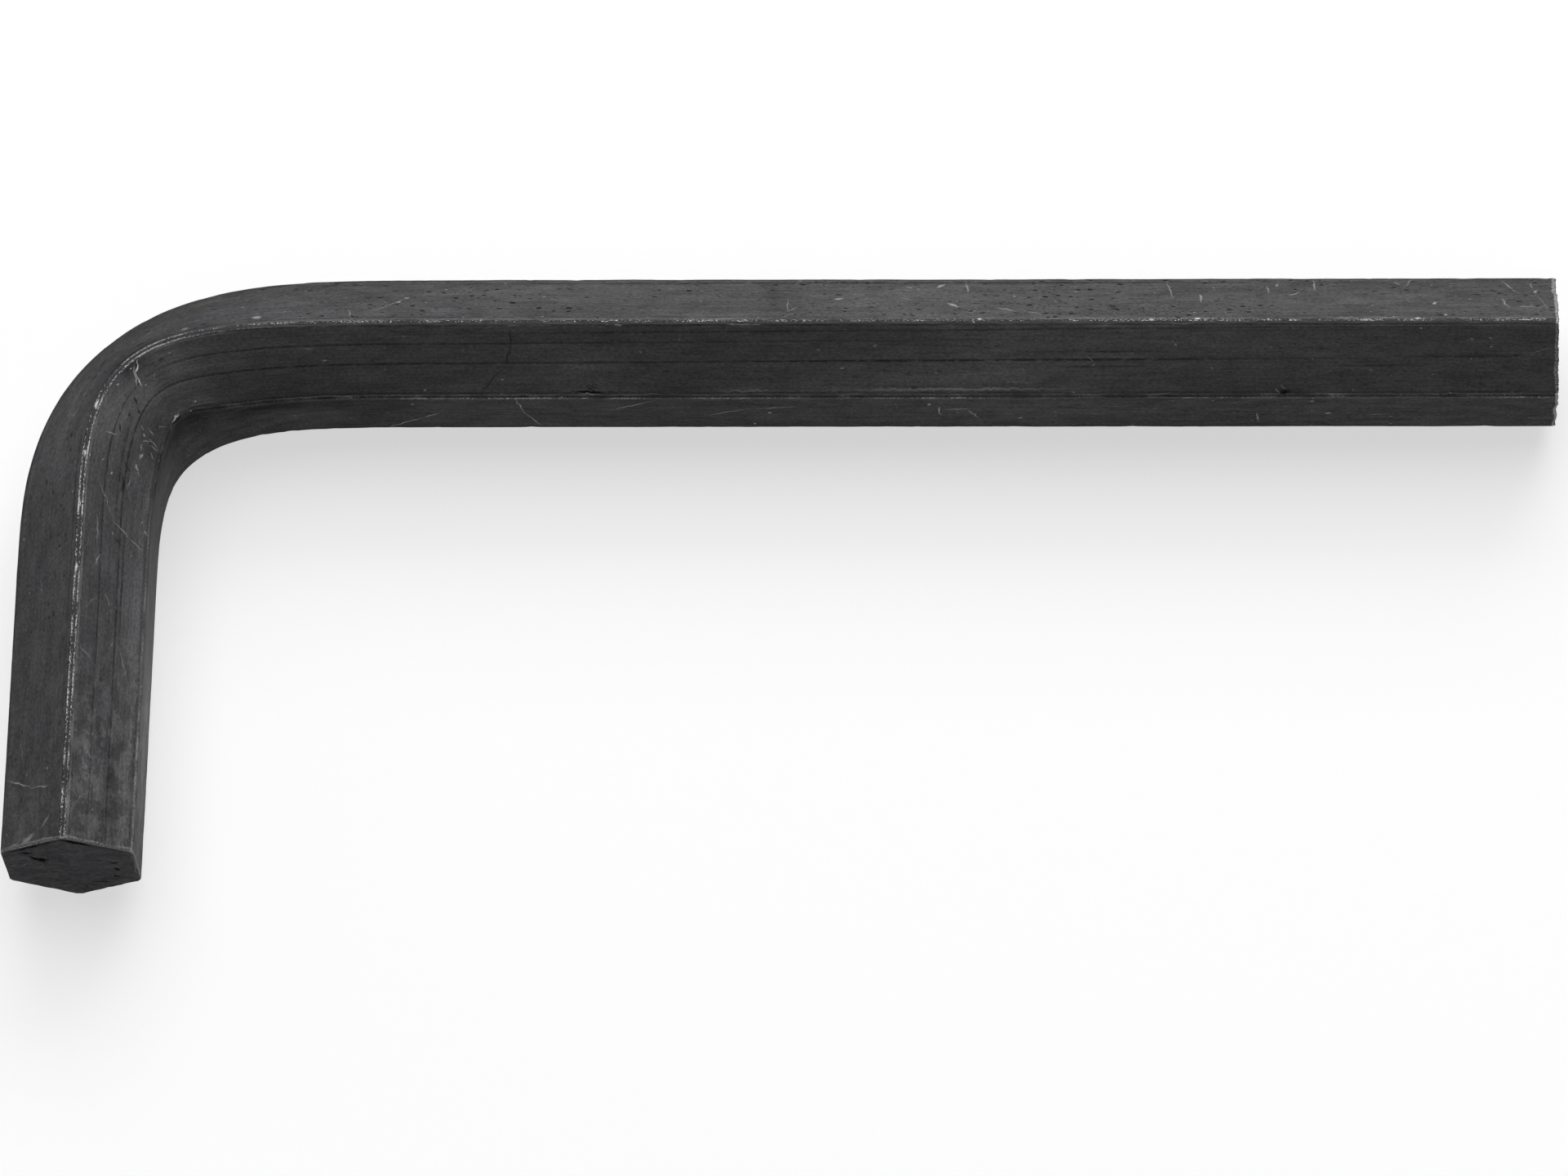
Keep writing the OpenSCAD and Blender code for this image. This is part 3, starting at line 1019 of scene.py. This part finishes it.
def upper_ridge(n):
    """Wear and painted shade: a speckled band of wear on the long arm, two bright edges from the bend on,
    and a dark band of painted shade over the ridge.
    """
    upper = n.math("WRAP", n.math("SUBTRACT", n.around, CORNER_FLAT / 2), GIRTH / 2, -GIRTH / 2)
    faint = n.times(n.ramp(n.along, *FAINT_FROM), n.ramp(n.along, *FAINT_UNTIL))
    spotted = n.ramp(n.math("MULTIPLY_ADD", n.runs, BAND_RUNS, n.speckle), *BAND_CHANCE)
    spotted = n.times(spotted, n.blend(faint, 1.0, FAINT_BAND))
    band = n.times(n.ramp(n.off(upper, UPPER_BAND), *UPPER_BAND_FADE), spotted)
    off_edge = n.off(n.math("ABSOLUTE", upper), CORNER_FLAT / 2)
    edges = n.times(n.ramp(off_edge, *UPPER_EDGE_FADE), n.ramp(n.chance, *EDGE_CHANCE))
    edges = n.times(edges, n.ramp(n.along, *BRIGHT_EDGES, THIN_EDGES, 1.0))
    crumbled = n.times(band, n.ramp(n.along, *CRUMBLED_BAND, 0.0, CRUMBLED))
    worn = n.blend(n.bend_on, band, n.most(edges, crumbled))
    # The second is the painted shade over the ridge
    return worn, n.ramp(n.off(upper, UPPER_SHADE), *UPPER_SHADE_FADE)


def front_ridge(n):
    """Wear and painted shade: a painted dark line where the ridge lies in shade, a broken bright line of
    wear under it, and bright wear alone from the bend on.
    """
    front = n.math("SUBTRACT", n.around, SIDE_START[FRONT_RIDGE] + CORNER_FLAT / 2)
    lip = n.ramp(n.off(front, FRONT_LIP), *FRONT_LIP_FADE)
    lip = n.blend(n.bend_on, lip, n.ramp(n.math("ABSOLUTE", front), *FRONT_FLAT_FADE))
    stretches = []
    for first, last in FRONT_WORN:
        begun = n.ramp(n.along, first - WORN_ENDS, first + WORN_ENDS)
        stretches.append(n.times(begun, n.ramp(n.along, last + WORN_ENDS, last - WORN_ENDS)))
    lip = n.times(lip, n.math("ADD", n.most(*stretches), LEAST_FRONT_WEAR))
    worn = n.times(lip, n.ramp(n.chance, *FRONT_CHANCE))
    # Painted shade: a dark line along the front ridge where it lies in shade, which also dims its highlight
    off_shade = n.math("SUBTRACT", n.off(front, FRONT_SHADE), FRONT_SHADE_CORE)
    off_shade = n.math("MULTIPLY_ADD", n.runs, SHADE_RUNS, off_shade)
    edge = n.ramp(n.along, *THINNER_FRONT_SHADE, *FRONT_SHADE_EDGES)
    shade_line = n.ramp(off_shade, edge, FRONT_SHADE_DARKEST, 0.0, FRONT_SHADE_STRENGTH)
    return worn, n.times(shade_line, n.ramp(n.along, *FRONT_SHADE_UNTIL))


def other_ridges(n):
    """Wear on all six ridges, fading out towards the upper one."""
    off_ridge = n.math("PINGPONG", n.math("SUBTRACT", n.around, CORNER_FLAT / 2), PITCH / 2)
    worn = n.times(n.ramp(off_ridge, *OTHER_RIDGE_FADE), n.ramp(n.chance, *OTHER_CHANCE))
    up = n.math("PINGPONG", n.math("SUBTRACT", n.around, 3 * PITCH), 3 * PITCH)
    return n.times(worn, n.ramp(up, 1.5 * PITCH, 2.5 * PITCH, 1.0, 0.0))


def worn_rims(n):
    """Wear on the rims of the two cut ends."""
    to_rim = n.math("MINIMUM", n.along, n.math("SUBTRACT", TOTAL, n.along))
    ragged = n.math("MULTIPLY_ADD", n.runs, RIM_RUNS, to_rim)
    return n.times(n.ramp(ragged, *RIM_FADE), n.ramp(n.speckle, *RIM_CHANCE))


def groove_strokes():
    """The grooves of the facets in view, as strokes."""
    strokes = {MIDDLE: [], OUTER_FRONT: []}
    for face, rows in strokes.items():
        for across, drift, first, last, width, deep, dark in GROOVES[face]:
            last = min(last, TOTAL + PAST_THE_END)
            rows.append((first, across + drift * first, last, across + drift * last, width, dark))
    return strokes


def steel():
    """Blackened steel of the walls: oxide, with dirt and painted shade over it and bare steel where it is
    worn.
    """
    n = WallNodes()
    oxide = oxide_colour(n)
    pits = pit_marks(n)
    worn_upper, upper_shade = upper_ridge(n)
    worn_front, front_shade = front_ridge(n)
    wear = {
        "upper": worn_upper,
        "front": worn_front,
        "others": other_ridges(n),
        "rims": worn_rims(n),
        "flecks": n.scattered(n.place, n.ramp(n.along, *MORE_PITS, *FLECK_SHARES), *FLECKS),
        "hairs": n.scattered(n.strays, HAIR_SHARE, *HAIRS),
        "scratches": n.strokes(n.strays, SCRATCHES),
    }
    bright = n.most(*[n.times(wear[kind], strength) for kind, strength in WEAR_STRENGTHS.items()])
    grooves = n.strokes(n.place, groove_strokes(), 0, GROOVE_REACH, GROOVE_GAIN)
    grooves = n.times(grooves, n.times(n.ramp(n.noise("dashes"), *DASHES), GROOVE_SHOW))
    drawn_dirt = n.strokes(n.strays, DARK_MARKS)
    # Dark: real pits, dirt and grooves, and the painted shade along the upper and front ridges
    dark = n.most(n.times(pits, PIT_DARKNESS), drawn_dirt, front_shade, upper_shade, grooves)
    height = n.times(n.fine, FINE_HEIGHT)
    height = n.math("MULTIPLY_ADD", n.streaks, STREAK_HEIGHT, height)
    height = n.math("MULTIPLY_ADD", pits, PIT_HEIGHT, height)
    height = n.math("MULTIPLY_ADD", n.speckle, n.times(worn_upper, WORN_HEIGHT), height)
    n.feed_shader({
        "Base Color": n.mix(bright, n.mix(dark, oxide, DIRT_AND_SHADE), BARE),
        "Roughness": n.blend(bright, n.ramp(n.noise("gloss"), *GLOSS), WORN_ROUGHNESS),
        "Metallic": 1.0,
        "Specular Tint": STEEL_TINT,
        "Normal": n.bump(height),
    })
    return n.owner


def cut_steel():
    """Darker steel of the cut ends, with the pits, scratches and painted shade under the rim of the short
    arm's one.
    """
    n = BarNodes("cut_steel", *CUT_PUSH)
    fine = n.noise("cut_fine")
    tone = n.times(n.ramp(n.noise("cut_cloud"), *CUT_CLOUD_TONE), n.ramp(fine, *CUT_FINE_TONE))
    # Pits, with painted shade under the rim at the upper corner
    pits = n.strokes(n.strays, {END_FACE: END_PITS_AND_SHADE})
    scratches = n.times(n.strokes(n.strays, {END_FACE: END_SCRATCHES}), CUT_SCRATCH_STRENGTH)
    height = n.math("MULTIPLY_ADD", pits, CUT_PIT_HEIGHT, n.times(fine, CUT_FINE_HEIGHT))
    n.feed_shader({
        "Base Color": n.mix(scratches, n.mix(pits, n.toned(CUT_OXIDE, tone), DIRT_AND_SHADE), BARE),
        "Roughness": CUT_ROUGHNESS,
        "Metallic": 1.0,
        "Specular Tint": CUT_TINT,
        "Normal": n.bump(height),
    })
    return n.owner


# Stage, camera and light

def floor():
    """A pale floor that keeps the key's shadow and still looks nearly white to the camera."""
    r = FLOOR_REACH
    mesh = bpy.data.meshes.new("floor")
    mesh.from_pydata([(-r, -r, 0), (r, -r, 0), (r, r, 0), (-r, r, 0)], [], [(0, 1, 2, 3)])
    n = Nodes(bpy.data.materials.new("floor"))
    n.feed_shader({"Base Color": FLOOR_COLOUR, "Roughness": 1.0, "Specular IOR Level": 0.0})
    path = n.add("ShaderNodeLightPath")
    seen = n.most(*[path.outputs[f"Is {kind} Ray"] for kind in ("Camera", "Glossy", "Transmission")])
    glow = n.add("ShaderNodeEmission", {"Color": (1, 1, 1, 1), "Strength": 1.0})
    both = n.add(
        "ShaderNodeMixShader", {0: n.times(seen, FLOOR_GLOW), 1: n.shader.outputs[0], 2: glow.outputs[0]}
    )
    n.feed(n.tree.nodes["Material Output"].inputs["Surface"], both.outputs[0])
    mesh.materials.append(n.owner)
    place_in_scene("floor", mesh)


def camera():
    lens = bpy.data.cameras.new("camera")
    lens.lens = CAMERA_LENS
    lens.sensor_width = CAMERA_SENSOR
    lens.sensor_fit = "HORIZONTAL"
    lens.clip_start, lens.clip_end = CAMERA_CLIP
    view = place_in_scene("camera", lens)
    view.location = CAMERA_PLACE
    view.rotation_euler = CAMERA_TURN
    bpy.context.scene.camera = view


def softbox(name, azimuth, elevation, distance, size, radiance):
    """A lamp aimed at the key; radiance is that of its face."""
    light = bpy.data.lights.new(name, "AREA")
    light.shape = "RECTANGLE"
    light.size, light.size_y = size
    light.energy = radiance * math.pi * size[0] * size[1]
    a = math.radians(azimuth)
    e = math.radians(elevation)
    place = Vector((math.sin(a) * math.cos(e), math.cos(a) * math.cos(e), math.sin(e))) * distance
    lamp = place_in_scene(name, light)
    lamp.location = place
    lamp.rotation_euler = (-place).to_track_quat("-Z", "Y").to_euler()


def world():
    """Surroundings that are pale all round at the horizon and dimmer overhead."""
    n = Nodes(bpy.data.worlds.new("world"), "Background")
    place = n.add("ShaderNodeTexCoord").outputs["Generated"]
    up = n.add("ShaderNodeSeparateXYZ", {0: place}).outputs[2]
    n.feed_shader({"Color": (1, 1, 1, 1), "Strength": n.ramp(up, 0.0, SKY_HEIGHT, SKY_LOW, SKY_HIGH)})
    bpy.context.scene.world = n.owner


bpy.context.scene.view_settings.view_transform = "Standard"
camera()
key = key_body()
key.data.materials.append(steel())
key.data.materials.append(cut_steel())
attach(key, "root")
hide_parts("hex_key")
floor()
world()
for values in SOFTBOXES:
    softbox(*values)
